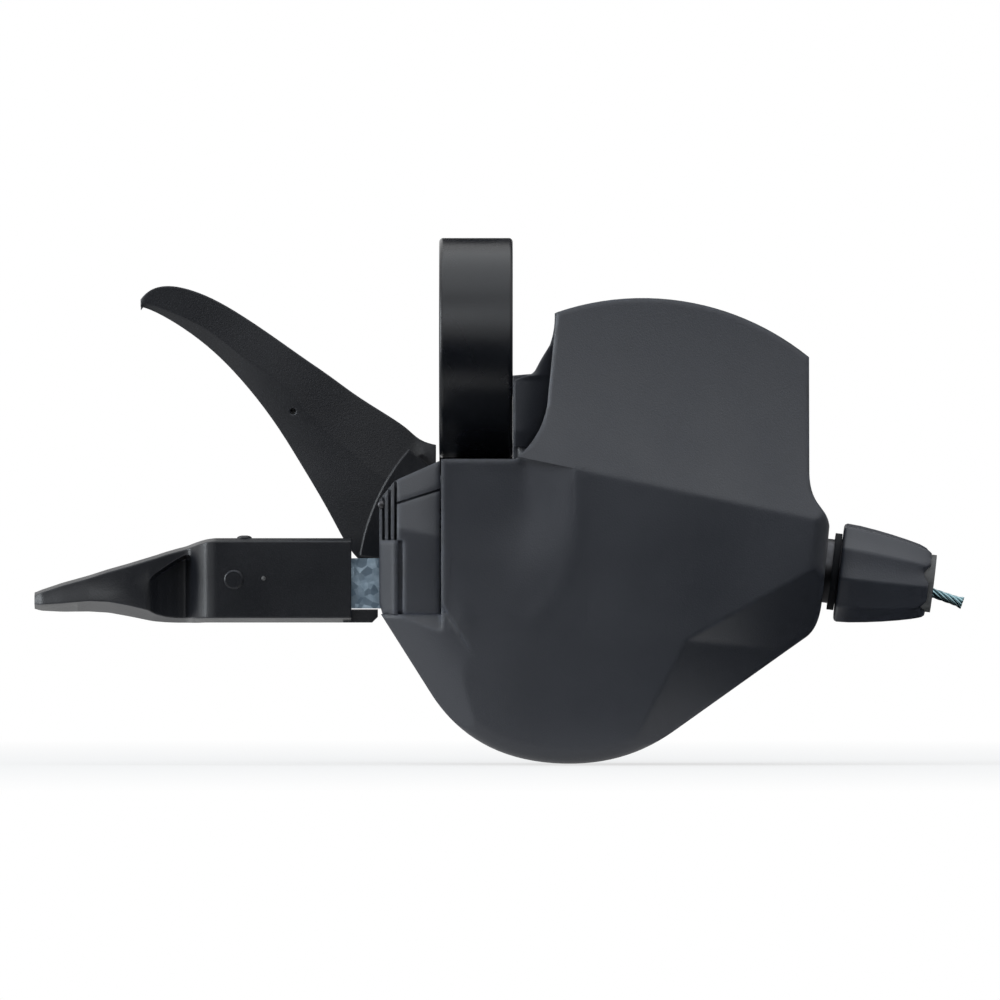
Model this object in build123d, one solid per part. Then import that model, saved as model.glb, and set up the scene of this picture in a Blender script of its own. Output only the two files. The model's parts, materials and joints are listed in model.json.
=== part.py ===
import math
import os
from build123d import *

# Driving dimensions, in millimetres. X runs along the handlebar to the inboard side, Z is up,
# and -Y is the side that faces forward on the bicycle. The origin is the centre of the clamp bore.
bar_radius = 11.1
band_wall = 2.65
band_width = 9.2
band_slit = 2.0
tongue_thick = 3.0
ear_thick = 3.5
clamp_bolt_radius = 2.5

pivot_x = 12.0
pivot_z = -30.1
case_top = -13.9
shelf_top = -12.0
wall = 1.8
drum_radius = 14.95
ratchet_tip = drum_radius - 1.45
ratchet_root = ratchet_tip - 1.4
pawl_pivot_radius = ratchet_tip + 4.1
pawl_head = 1.9
pawl_room = 0.35
case_radius = pawl_pivot_radius + pawl_head + pawl_room + wall
rim_y = -11.0
case_floor_y = 3.9
fit_gap = 0.15

ridge_angle = 11.9
ridge_point = (4.9, -13.6)
ridge_y = -23.0
face_lean = 3.8
panel_radius = 150.0
panel_tilt = 16.0
arch_x = 20.7
arch_z = -26.7
arch_radius = 32.8
panel_right = 41.4
right_side = 43.9

pod_back_y = -11.9
pod_split_y = -13.5
leg_front_y = -15.1
window_start = 60.0
window_end = 103.0
lens_thick = 1.3
needle_rest = 62.0
lens_clear = 1.1
needle_reach = arch_radius - lens_thick - lens_clear

axle_radius = 3.0
running_fit = 0.05
plate_thick = 1.6
base_plate_thick = 2.0
base_front_y = case_floor_y - base_plate_thick
main_plate_y = -0.9
plate_back_y = main_plate_y + plate_thick
release_plate_y = -13.8
drum_front_y = -9.2
drum_back_y = -2.8
cable_pitch_radius = drum_radius - 0.85
cable_radius = 0.6
cable_y = -6.0
cable_wrap = 22.0
stub_end_x = 60.9

gear_count = 33
spring_room = drum_radius - 4.05
coil_inner = 6.0
coil_turns = 3
coil_pitch = (spring_room - 0.7 - coil_inner) / coil_turns
index_thick = 1.8
drive_thick = 1.6
pawl_reach_angle = 22.0
pawl_clear = 0.25
pawl_swing = 9.0
feed_pawl_angle = 150.0
holding_pawl_angle = 300.0
pawl_pin_radius = 1.2

barrel_x = 45.25
barrel_z = pivot_z + drum_radius - 12.85
outlet_x = barrel_x + 11.81
outlet_z = barrel_z - 2.62
barrel_tilt = 7.0
barrel_length = 11.3
barrel_big = 6.35
barrel_small = 4.05
barrel_flutes = 10
bolt_radius = 4.0
bolt_bore = 2.75
bolt_depth = 6.5

screw_radius = 1.25
screw_head_radius = 2.3
boss_radius = 2.4


def at(x, z):
    return Pos(x, z, 0)


def slab(sketch, front, back):
    """A flat outline in X and Z, filled from one depth to another along Y."""
    return extrude(Plane.XZ.offset(-back) * sketch, back - front)


def post(x, z, radius, front, back):
    return slab(at(x, z) * Circle(radius), front, back)


def about_pivot(radius, angle):
    """A point at a radius and an angle about the lever axle."""
    turn = math.radians(angle)
    return (pivot_x + radius * math.cos(turn), pivot_z + radius * math.sin(turn))


def box_between(x0, x1, y0, y1, z0, z1):
    return Pos((x0 + x1) / 2, (y0 + y1) / 2, (z0 + z1) / 2) * Box(x1 - x0, y1 - y0, z1 - z0)


def sector(inner, outer, start, end):
    """A ring sector about the axle, between two angles."""
    middle = (start + end) / 2
    return make_face([
        Line(about_pivot(inner, start), about_pivot(outer, start)),
        ThreePointArc(about_pivot(outer, start), about_pivot(outer, middle), about_pivot(outer, end)),
        Line(about_pivot(outer, end), about_pivot(inner, end)),
        ThreePointArc(about_pivot(inner, end), about_pivot(inner, middle), about_pivot(inner, start)),
    ])


def arch_point(radius, angle):
    turn = math.radians(angle)
    return (arch_x + radius * math.cos(turn), arch_z + radius * math.sin(turn))


def arch_strip(inner, outer, start, end):
    """A strip that follows the arched top of the display pod."""
    middle = (start + end) / 2
    return make_face([
        Line(arch_point(inner, start), arch_point(outer, start)),
        ThreePointArc(arch_point(outer, start), arch_point(outer, middle), arch_point(outer, end)),
        Line(arch_point(outer, end), arch_point(inner, end)),
        ThreePointArc(arch_point(inner, end), arch_point(inner, middle), arch_point(inner, start)),
    ])


# The two straight lower sides of the housing run off the round bottom at these angles.
left_normal = 212.3
right_normal = -54.7
column_left = -4.3
guard_foot = -33.2
shelf_left = 5.2
cover_bottom = -51.75
rim_round = 2.1
side_round = 9.0
guard_front_y = -19.4


def side_height(normal, radius, x):
    """Height of a straight lower side at a place along X."""
    turn = math.radians(normal)
    return pivot_z + (radius - (x - pivot_x) * math.cos(turn)) / math.sin(turn)


def side_place(normal, radius, z):
    """Place along X of a straight lower side at a height."""
    turn = math.radians(normal)
    return pivot_x + (radius - (z - pivot_z) * math.sin(turn)) / math.cos(turn)


def right_edge(inset):
    """The right-hand side of the housing, from the panel down and round to the bottom."""
    radius = case_radius - inset
    low_x = 41.0 - 0.75 * inset
    low = (low_x, side_height(right_normal, radius, low_x))
    bend = (right_side - 0.9 - inset, -31.5)
    way_x = math.cos(math.radians(right_normal + 90.0))
    way_z = math.sin(math.radians(right_normal + 90.0))
    shoulder = (right_side - inset, -22.3)
    flare = (panel_right - inset, -15.5)
    return [
        Spline(flare, (42.3 - inset, -19.2), shoulder, tangents=[(0, -1), (0.1, -1)]),
        Line(shoulder, bend),
        Spline(bend, low, tangents=[(-0.9, -9.2), (-way_x, -way_z)]),
        Line(low, about_pivot(radius, right_normal)),
    ]


def front_edge(inset):
    """The bottom and the left-hand lower side of the front cover."""
    foot_z = guard_foot - inset
    lean = math.radians(left_normal)
    straight = (-5.6 - inset * math.cos(lean), -43.0 - inset * math.sin(lean))
    slope = math.tan(lean + math.pi / 2)
    foot = (straight[0] + (foot_z - straight[1]) / slope, foot_z)
    turn_in = (column_left + inset, foot_z)
    bottom = (10.75, cover_bottom + inset)
    start = about_pivot(case_radius - inset, right_normal)
    right_way = right_normal - 90.0
    left_way = left_normal - 90.0
    tangents = [
        (math.cos(math.radians(right_way)), math.sin(math.radians(right_way))),
        (math.cos(math.radians(left_way)), math.sin(math.radians(left_way))),
    ]
    return [
        Spline(start, bottom, straight, tangents=tangents),
        Line(straight, foot),
        Line(foot, turn_in),
        Line(turn_in, (column_left + inset, case_top - inset)),
    ]


def cover_outline(inset):
    """Pod, panel and lower body in one outline."""
    radius = arch_radius - inset
    left = arch_point(radius, 109.0 - 2.0 * inset)
    right = (panel_right - inset, arch_point(radius, 51.5 + 2.2 * inset)[1])
    right_turn = math.degrees(math.acos((right[0] - arch_x) / radius))
    right = arch_point(radius, right_turn)
    return make_face([
        Line((column_left + inset, case_top - inset), (4.9 + 0.6 * inset, case_top - inset)),
        ThreePointArc(
            (4.9 + 0.6 * inset, case_top - inset),
            (7.7 + 0.75 * inset, -10.6 - 0.6 * inset),
            (9.0 + inset, -5.9 - 0.3 * inset),
        ),
        Line((9.0 + inset, -5.9 - 0.3 * inset), left),
        ThreePointArc(left, arch_point(radius, 80.0), right),
        Line(right, (panel_right - inset, -15.5)),
        *right_edge(inset),
        *front_edge(inset),
    ])


def shelf_outline(inset):
    """The lower body of the cover, under the handlebar."""
    return make_face([
        Line((column_left + inset, case_top - inset), (shelf_left + inset, case_top - inset)),
        Line((shelf_left + inset, case_top - inset), (shelf_left + inset, shelf_top - inset)),
        Line((shelf_left + inset, shelf_top - inset), (panel_right - inset, shelf_top - inset)),
        Line((panel_right - inset, shelf_top - inset), (panel_right - inset, -15.5)),
        *right_edge(inset),
        *front_edge(inset),
    ])


def case_outline(inset):
    """The rear case, round about the axle on its left-hand side."""
    radius = case_radius - inset
    top = case_top - inset
    left_turn = math.degrees(math.asin((top - pivot_z) / radius))
    left = about_pivot(radius, 180.0 - left_turn)
    return make_face([
        Line(left, (shelf_left + inset, top)),
        Line((shelf_left + inset, top), (shelf_left + inset, shelf_top - inset)),
        Line((shelf_left + inset, shelf_top - inset), (panel_right - inset, shelf_top - inset)),
        Line((panel_right - inset, shelf_top - inset), (panel_right - inset, -15.5)),
        *right_edge(inset),
        ThreePointArc(about_pivot(radius, right_normal), about_pivot(radius, 225.0), left),
    ])


# The front of the housing: a lower face that leans back a little, a ridge, and a hollow panel above it.
ridge_plane = Plane(
    origin=(ridge_point[0], 0, ridge_point[1]),
    x_dir=(0, 1, 0),
    z_dir=(math.cos(math.radians(ridge_angle)), 0, -math.sin(math.radians(ridge_angle))),
)
face_foot = 46.0
panel_high = 30.0


def panel_depth(height):
    """How far the hollow panel has gone back at a height above the ridge."""
    sweep = math.sin(math.radians(panel_tilt)) - height / panel_radius
    return panel_radius * (math.sqrt(1 - sweep**2) - math.cos(math.radians(panel_tilt)))


def front_form(offset):
    """Everything behind the front faces, set back by an offset."""
    front = ridge_y + offset
    lean = face_foot * math.tan(math.radians(face_lean))
    hollow = ThreePointArc(
        (front, 0),
        (front + panel_depth(panel_high / 2), panel_high / 2),
        (front + panel_depth(panel_high), panel_high),
    )
    profile = make_face([
        Line((front + lean, -face_foot), (front, 0)),
        hollow,
        Line((front + panel_depth(panel_high), panel_high), (20, panel_high)),
        Line((20, panel_high), (20, -face_foot)),
        Line((20, -face_foot), (front + lean, -face_foot)),
    ])
    return extrude(ridge_plane * profile, 60, both=True)


# Screw places between the case and the cover, clear of the turning parts.
low_boss = about_pivot(case_radius - 2.75, 235.0)
screw_places = [(37.0, -18.3), (33.5, -36.0), low_boss]


def ring(inner, outer, front, back):
    return post(pivot_x, pivot_z, outer, front, back) - post(pivot_x, pivot_z, inner, front - 1, back + 1)


def save(solid, name):
    solid.label = name
    export_step(solid, "parts/" + name + ".step")


os.makedirs("parts", exist_ok=True)

# Front cover: shell, lower right facet, shallow groove under the clamp, window and screw posts.
cover = slab(cover_outline(0), -30, pod_split_y) & front_form(0)
cover += slab(shelf_outline(0), pod_split_y, rim_y)
rim_edges = cover.edges().filter_by(GeomType.BSPLINE)
cover = fillet(rim_edges.filter_by(lambda e: e.center().Y < -18 and e.center().Z < -44), rim_round)
facet_plane = Plane(origin=(34.0, -20.9, -33.6), x_dir=(0.905, 0, 0.425), z_dir=(0.30, -0.74, -0.60))
facet_end = Plane(origin=(24.5, -21.3, -40.5), x_dir=(-0.555, 0, -0.833), z_dir=(0.416, -0.90, -0.278))
facet = facet_plane * Pos(0, 0, 15) * Box(80, 60, 30)
cover -= facet & (facet_end * Pos(0, 0, 20) * Box(80, 80, 40))
groove_deep = 1.3
groove_run = 6.0
groove_runout = 80.0
groove_profile = make_face(Polyline(
    (column_left - 1, 4),
    (column_left - 1, -0.1),
    (6.0, -groove_deep),
    (12.1, 0.05),
    (14, 4),
    close=True,
))
groove_bed = groove_profile.vertices().filter_by(lambda v: v.Y < -1)
groove_profile = fillet(groove_bed, 3.0)
groove_top = Plane(origin=(0, ridge_y, case_top + 1), x_dir=(1, 0, 0), z_dir=(0, 0.066, -1))
groove_foot = groove_top.offset(groove_run)
runout_axis = Axis(groove_foot.from_local_coords(Vector(0, groove_runout, 0)), (1, 0, 0))
groove = extrude(groove_top * groove_profile, groove_run)
groove += revolve(groove_foot * groove_profile, runout_axis, -14)
groove &= box_between(-20, 60, -40, 0, -60, case_top + 0.2)
cover -= groove
side_along = (math.sin(math.radians(left_normal)), 0, -math.cos(math.radians(left_normal)))
side_plane = Plane(origin=(0.3, -21.35, -39.3), x_dir=side_along, z_dir=(0, -1, 0.066))
side_tool = Pos(0, 15, 10 - side_round / 2) * Box(60, 30, 20 + side_round)
side_tool -= Pos(0, 0, -side_round) * Rot(0, 90, 0) * Cylinder(side_round, 80)
cover -= side_plane * side_tool
ramp_plane = Plane(origin=(0, guard_front_y, guard_foot), x_dir=(1, 0, 0), z_dir=(0, -0.81, 0.59))
ramp_tool = Pos(0, 0, 10) * Box(80, 40, 20)
cover -= (ramp_plane * ramp_tool) & box_between(-20, column_left, -40, 0, -45, guard_foot)
solid_cover = cover
hollow_part = slab(cover_outline(wall), -30, pod_split_y) & front_form(wall)
hollow_part += slab(shelf_outline(wall), pod_split_y, rim_y)
hollow_part -= facet_plane * Pos(0, 0, 15 - wall) * Box(80, 60, 30)
hollow_part -= side_plane * Pos(0, -wall, -wall) * side_tool
ramp_room = box_between(-20, column_left + wall, -40, 0, -45, guard_foot)
hollow_part -= (ramp_plane.offset(-wall) * ramp_tool) & ramp_room
cover -= hollow_part
for place in screw_places:
    cover += post(*place, boss_radius, -30, rim_y) & solid_cover
    cover -= post(*place, screw_radius, -17, rim_y)
cover -= slab(arch_strip(arch_radius - 3, arch_radius + 1, window_start, window_end), -17.15, pod_split_y)
cover -= box_between(-14, column_left + wall + 0.5, -14.4, rim_y + 1, guard_foot + 0.2, -20.5)
save(cover, "front_cover")

# Side guard in front of the lever roots.
guard_back_y = -14.6
guard_right = column_left - fit_gap
guard_face = make_face(Polyline(
    (guard_right, -14.1),
    (-10.1, -16.6),
    (-12.0, -19.0),
    (-12.0, -31.8),
    (-11.6, guard_foot),
    (guard_right, guard_foot),
    close=True,
))
guard = slab(guard_face, guard_front_y, guard_back_y)
top_bevel = Plane(origin=(-8.0, guard_front_y, -22.7), x_dir=(0.98, 0, -0.18), z_dir=(0.08, -0.9, 0.42))
guard -= top_bevel * Pos(0, 0, 10) * Box(40, 40, 20)
left_bevel = Plane(origin=(-10.2, guard_front_y, -25.0), x_dir=(0, 0, 1), z_dir=(-0.8, -0.6, 0))
guard -= left_bevel * Pos(0, 0, 10) * Box(40, 40, 20)
guard -= box_between(-10.4, guard_right - wall, guard_front_y + 2.4, guard_back_y, guard_foot + 2, -24.5)
rib_edge = -9.8
rib_low = -24.0
rib_back_y = guard_back_y - 1.0
rib_room = box_between(-14, rib_edge, -25, rib_back_y, rib_low, -10) & guard
guard -= rib_room
for count in range(3):
    rib_x = rib_edge - 0.35 - 0.75 * count
    guard += box_between(rib_x - 0.4, rib_x, -18.2 + 0.6 * count, rib_back_y, rib_low, -10) & rib_room
guard -= box_between(-9.7, -9.1, guard_front_y - 1, guard_front_y + 0.5, guard_foot, rib_low)
seam = slab(trace(Polyline((rib_edge, -19.4), (guard_right, -17.7)), 0.3), -25, -14)
guard -= seam & (top_bevel * Pos(0, 0, 9.6) * Box(40, 40, 20))
save(guard, "side_guard")

# Rear case: a round tub about the axle, with room for the clamp tongue,
# the lever slot and the adjuster socket.
case_back_y = case_floor_y + 2.0
case = slab(case_outline(0), rim_y, case_back_y)
back_edges = case.faces().sort_by(Axis.Y)[-1].edges()
case = fillet(back_edges, 1.4)
case -= slab(case_outline(wall), rim_y, case_floor_y)
axis_turn = math.radians(barrel_tilt)
barrel_plane = Plane(
    origin=(barrel_x, cable_y, barrel_z),
    x_dir=(0, 1, 0),
    z_dir=(math.cos(axis_turn), 0, -math.sin(axis_turn)),
)


def along_barrel(radius, start, end):
    return extrude(barrel_plane.offset(start) * Circle(radius), end - start)


socket = along_barrel(bolt_radius + 0.95, -7.5, 2) & slab(case_outline(0.5), rim_y, case_floor_y)
case += socket
for place in screw_places:
    case += post(*place, boss_radius, rim_y, case_floor_y) & slab(case_outline(0.5), rim_y, case_floor_y)
    case -= post(*place, screw_radius, rim_y - 1, case_back_y)
    case -= post(*place, screw_head_radius, case_back_y - 1.1, case_back_y + 1)
case -= along_barrel(bolt_radius + 0.08, -9, 4)
tongue_foot = -29.0
half_band = band_width / 2
tongue_half = half_band + fit_gap
case -= box_between(-tongue_half, tongue_half, case_floor_y - 0.15, 9, tongue_foot - 0.2, -12)
lever_slot = sector(case_radius - wall - 1.35, case_radius + 2.35, 136.0, 206.0)
case -= slab(lever_slot, main_plate_y - 0.4, plate_back_y + 0.4)
plug_place = (31.0, -29.5)
case -= post(*plug_place, 3.1, case_floor_y - 1, case_back_y + 1)
save(case, "rear_case")
plug_x, plug_z = plug_place
plug = post(plug_x, plug_z, 3.1, case_floor_y, case_back_y)
plug += post(plug_x, plug_z, 4.0, case_back_y, case_back_y + 0.9)
plug -= box_between(plug_x - 2.5, plug_x + 2.5, case_back_y, 9, plug_z - 0.4, plug_z + 0.4)
save(plug, "cable_port_plug")
screws = []
for place in screw_places:
    screw = post(*place, screw_radius, -16.5, case_back_y - 1.1)
    screw += post(*place, screw_head_radius, case_back_y - 1.1, case_back_y - 0.1)
    cross = at(*place) * (Rectangle(2.4, 0.6) + Rectangle(0.6, 2.4))
    screws.append(screw - slab(cross, case_back_y - 0.7, case_back_y))
save(Compound(children=screws), "cover_screws")

# Display: base plate with its arm, lens, dial, needle and its pin.
pod_left = arch_point(arch_radius, 109.4)
pod_right = arch_point(arch_radius, 51.5)
base_low = shelf_top
arm_left = band_width / 2
display_face = make_face([
    Line((arm_left, case_top), (arm_left, -3.5)),
    Line((arm_left, -3.5), (7.0, -3.3)),
    ThreePointArc((7.0, -3.3), (9.0, -0.2), pod_left),
    ThreePointArc(pod_left, arch_point(arch_radius, 80.0), pod_right),
    Line(pod_right, (panel_right, base_low)),
    Line((panel_right, base_low), (shelf_left, base_low)),
    Line((shelf_left, base_low), (shelf_left, case_top)),
    Line((shelf_left, case_top), (arm_left, case_top)),
])
dial_outer = needle_reach - 1.4
dial_thick = 0.8
leg_length = dial_outer - dial_thick - 1.0
leg_face = at(arch_x, arch_z + leg_length / 2) * Rectangle(6.0, leg_length)
leg_face += at(arch_x, arch_z) * Circle(3.0)
display = slab(display_face, pod_split_y, pod_back_y) + slab(leg_face, leg_front_y, pod_split_y)
needle_pin_radius = 0.9
display -= post(arch_x, arch_z, needle_pin_radius, -20, 0)
save(display, "display_base")
lens_shape = arch_strip(arch_radius - lens_thick, arch_radius - 0.05, window_start + 0.3, window_end - 0.3)
lens = slab(lens_shape, -17.0, -13.6)
save(lens, "display_lens")
save(slab(arch_strip(dial_outer - dial_thick, dial_outer, 57.0, 106.0), -15.2, pod_split_y), "dial_plate")
needle_front_y = -16.3
needle_back_y = -15.5
pin = post(arch_x, arch_z, needle_pin_radius, -16.9, pod_split_y) + post(arch_x, arch_z, 1.6, -17.1, -16.5)
save(pin, "needle_pin")
arm_length = needle_reach - 0.4
arm = at(arch_x, arch_z) * Rot(0, 0, needle_rest) * at(arm_length / 2, 0) * Rectangle(arm_length, 1.2)
needle = slab(arm, needle_front_y, needle_back_y) + post(arch_x, arch_z, 2.2, needle_front_y, needle_back_y)
needle_tip = arch_strip(needle_reach - 0.9, needle_reach, needle_rest - 1.0, needle_rest + 1.0)
needle += slab(needle_tip, needle_front_y, -13.9)
needle -= post(arch_x, arch_z, needle_pin_radius + running_fit, -20, 0)
save(needle, "needle")

# Clamp band with its tongue and free ear, pinched by one bolt from behind.
band_outer = bar_radius + band_wall


def along_x(radius, length):
    return Rot(0, 90, 0) * Cylinder(radius, length)


tongue_back_y = case_floor_y + tongue_thick
ear_front_y = tongue_back_y + band_slit
ear_back_y = ear_front_y + ear_thick
band = along_x(band_outer, band_width)
band = fillet(band.edges().filter_by(GeomType.CIRCLE), 0.5)
band += box_between(-half_band, half_band, case_floor_y, tongue_back_y, tongue_foot, -9)
band += box_between(-half_band, half_band, ear_front_y, ear_back_y, -21.5, -5)
band -= box_between(-10, 10, tongue_back_y, ear_front_y, -40, -5)
band -= along_x(bar_radius, 30)
clamp_bolt_z = -17.0
bracket_screw_z = -25.2
band -= post(0, clamp_bolt_z, clamp_bolt_radius, 0, tongue_back_y)
band -= post(0, clamp_bolt_z, clamp_bolt_radius + 0.2, tongue_back_y, 20)
band -= post(0, bracket_screw_z, 2.0, 0, 20)
save(band, "clamp_band")
bolt = post(0, clamp_bolt_z, clamp_bolt_radius, case_floor_y, ear_back_y)
bolt += post(0, clamp_bolt_z, 4.25, ear_back_y, ear_back_y + 4)
bolt -= slab(at(0, clamp_bolt_z) * RegularPolygon(2.3, 6), ear_back_y + 1.5, ear_back_y + 5)
save(bolt, "clamp_bolt")
bracket_screw = post(0, bracket_screw_z, 2.0, base_front_y, tongue_back_y)
bracket_screw += post(0, bracket_screw_z, 3.5, tongue_back_y, tongue_back_y + 2.2)
bracket_screw -= slab(at(0, bracket_screw_z) * RegularPolygon(1.7, 6), tongue_back_y + 0.8, 20)
save(bracket_screw, "bracket_screw")

# Base plate, axle, washer and nut.
base = slab(case_outline(wall + 0.2), base_front_y, case_floor_y)
for place in screw_places:
    base -= post(*place, boss_radius + 0.2, 0, 9)
base -= post(pivot_x, pivot_z, axle_radius, 0, 9)
base -= post(0, bracket_screw_z, 2.0, 0, 9)
save(base, "base_plate")
save(post(pivot_x, pivot_z, axle_radius, -18.2, case_floor_y), "main_axle")
save(ring(axle_radius, 5.5, -15.0, -14.2), "axle_washer")
nut = slab(at(pivot_x, pivot_z) * RegularPolygon(5.77, 6), -17.6, -15.0)
save(nut - post(pivot_x, pivot_z, axle_radius, -20, 0), "axle_nut")
pivot_axis = Axis((pivot_x, 0, pivot_z), (0, 1, 0))


def round_wire(radius, wire, depth, start, sweep):
    """A round wire bent about the axle."""
    spot = about_pivot(radius, start)
    turn = math.radians(start)
    heading = (-math.sin(turn), 0, math.cos(turn))
    plane = Plane(origin=(spot[0], depth, spot[1]), x_dir=(0, 1, 0), z_dir=heading)
    return revolve(plane * Circle(wire), pivot_axis, sweep)


save(round_wire(9.0, 0.4, 1.3, 20, -310), "main_lever_spring")
save(round_wire(7.6, 0.35, -11.6, 100, -310), "release_lever_spring")

# Cable drum with its groove, spring room and nipple seat.
step_angle = 360.0 / gear_count
outlet_reach = math.hypot(outlet_x - pivot_x, outlet_z - pivot_z)
outlet_bearing = math.degrees(math.atan2(outlet_z - pivot_z, outlet_x - pivot_x))
leave_angle = outlet_bearing + math.degrees(math.acos(cable_pitch_radius / outlet_reach))
nipple_angle = leave_angle + cable_wrap + 8.0
drum = ring(axle_radius + running_fit, drum_radius, drum_front_y, drum_back_y)
drum -= ring(cable_pitch_radius - 0.8, 20, cable_y - 0.9, cable_y + 0.9)
drum -= ring(coil_inner - 0.6, spring_room, drum_front_y, drum_front_y + 4.6)
nipple_place = about_pivot(drum_radius - 2.3, nipple_angle)
nipple = post(*nipple_place, 2.0, -8.0, -4.0)
drum -= post(*nipple_place, 2.0, drum_front_y, -4.0)
save(drum, "cable_drum")
save(nipple - round_wire(cable_pitch_radius, cable_radius, cable_y, leave_angle, 40), "cable_nipple")
spiral = []
for count in range(2 * coil_turns):
    side = 1 - 2 * (count % 2)
    near = coil_inner + coil_pitch * count / 2
    far = near + coil_pitch / 2
    middle = (pivot_x + side * (near - far) / 2, pivot_z + side * (near + far) / 2)
    spiral.append(ThreePointArc((pivot_x + side * near, pivot_z), middle, (pivot_x - side * far, pivot_z)))
save(slab(trace(spiral, 0.5), drum_front_y + 0.3, drum_front_y + 4.0), "drum_spring")

# Pawls and ratchet wheels. A pawl points along the winding direction and drops
# into a tooth gap when it swings.


def pawl_points(angle):
    pivot = about_pivot(pawl_pivot_radius, angle)
    nose = about_pivot(ratchet_tip + pawl_clear, angle + pawl_reach_angle)
    return pivot, nose


def pawl(angle, front, back):
    pivot, nose = pawl_points(angle)
    along = math.atan2(nose[1] - pivot[1], nose[0] - pivot[0])
    side = (-math.sin(along), math.cos(along))
    inward = (pivot[0] + 1.7 * side[0], pivot[1] + 1.7 * side[1])
    outward = (pivot[0] - 1.7 * side[0], pivot[1] - 1.7 * side[1])
    heel_x = nose[0] - 1.2 * side[0] - 0.4 * math.cos(along)
    heel_z = nose[1] - 1.2 * side[1] - 0.4 * math.sin(along)
    heel = (heel_x, heel_z)
    face = make_face(Polyline(inward, nose, heel, outward, close=True)) + at(*pivot) * Circle(pawl_head)
    return slab(face, front, back) - post(*pivot, pawl_pin_radius + running_fit, -40, 40)


def engaged_angle(angle):
    """Direction of a pawl nose about the axle when the pawl has swung in."""
    pivot, nose = pawl_points(angle)
    turn = math.radians(pawl_swing)
    dx = nose[0] - pivot[0]
    dz = nose[1] - pivot[1]
    x = pivot[0] + dx * math.cos(turn) - dz * math.sin(turn)
    z = pivot[1] + dx * math.sin(turn) + dz * math.cos(turn)
    return math.degrees(math.atan2(z - pivot_z, x - pivot_x))


def ratchet(angle, front, back):
    start = engaged_angle(angle) + 2.3
    teeth = []
    for count in range(gear_count):
        teeth.append(about_pivot(ratchet_root, start + count * step_angle))
        teeth.append(about_pivot(ratchet_tip, start + count * step_angle))
    wheel = slab(make_face(Polyline(*teeth, close=True)), front, back)
    return wheel - post(pivot_x, pivot_z, axle_radius + running_fit, -40, 40)


save(ratchet(holding_pawl_angle, drum_front_y - index_thick, drum_front_y), "index_ratchet")
save(ratchet(feed_pawl_angle, drum_back_y, drum_back_y + drive_thick), "drive_ratchet")
save(pawl(holding_pawl_angle, drum_front_y - 1.6, drum_front_y - 0.2), "holding_pawl")
save(pawl(feed_pawl_angle, drum_back_y + 0.3, drum_back_y + 1.7), "feed_pawl")


def small_ring(place, major, wire, depth):
    """A turn of spring wire about a pin."""
    plane = Plane(origin=(place[0] + major, depth, place[1]), x_dir=(1, 0, 0), z_dir=(0, 0, 1))
    return revolve(plane * Circle(wire), Axis((place[0], 0, place[1]), (0, 1, 0)), 360)


feed_place = about_pivot(pawl_pivot_radius, feed_pawl_angle)
hold_place = about_pivot(pawl_pivot_radius, holding_pawl_angle)
save(post(*feed_place, pawl_pin_radius, drum_back_y - 1.0, plate_back_y), "feed_pawl_pin")
save(small_ring(feed_place, 1.5, 0.25, drum_back_y - 0.3), "feed_pawl_spring")
save(post(*hold_place, pawl_pin_radius, drum_front_y - 2.4, base_front_y), "holding_pawl_pin")
save(small_ring(hold_place, 1.5, 0.25, drum_front_y + 0.4), "holding_pawl_spring")

# Shift cable: wrapped on the drum, then straight out through the guide and the adjuster.
leave = about_pivot(cable_pitch_radius, leave_angle)
drop = math.radians(90.0 - leave_angle)
cable_plane = Plane(
    origin=(leave[0], cable_y, leave[1]), x_dir=(0, 1, 0), z_dir=(math.cos(drop), 0, -math.sin(drop)))
cable_run = (stub_end_x - leave[0]) / math.cos(drop)
cable = extrude(cable_plane * Circle(cable_radius), cable_run)
cable += round_wire(cable_pitch_radius, cable_radius, cable_y, leave_angle, -cable_wrap)
save(cable, "shift_cable")
guide = box_between(28.6, 33.0, cable_y - 2.4, base_front_y, -24.6, -18.6)
guide -= extrude(cable_plane * Circle(cable_radius + 0.3), 60)
save(guide, "cable_guide")

# Main lever: flat plate on the axle, moulded blade that sweeps back behind the handlebar.
plate_direction = 154.0
plate_length = case_radius + 4.15
plate_bar = at(plate_length / 2, 0) * Rectangle(plate_length, 10.0)
plate_face = at(pivot_x, pivot_z) * Circle(7.0)
plate_face += at(pivot_x, pivot_z) * Rot(0, 0, plate_direction) * plate_bar
plate_solid = slab(plate_face, main_plate_y, plate_back_y)
main_plate = plate_solid - post(pivot_x, pivot_z, 5.0, -40, 40)
main_plate -= post(*feed_place, pawl_pin_radius, -40, 40)
save(main_plate, "main_lever_plate")
save(ring(axle_radius + running_fit, 5.0, main_plate_y, plate_back_y), "main_lever_bush")

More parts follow.
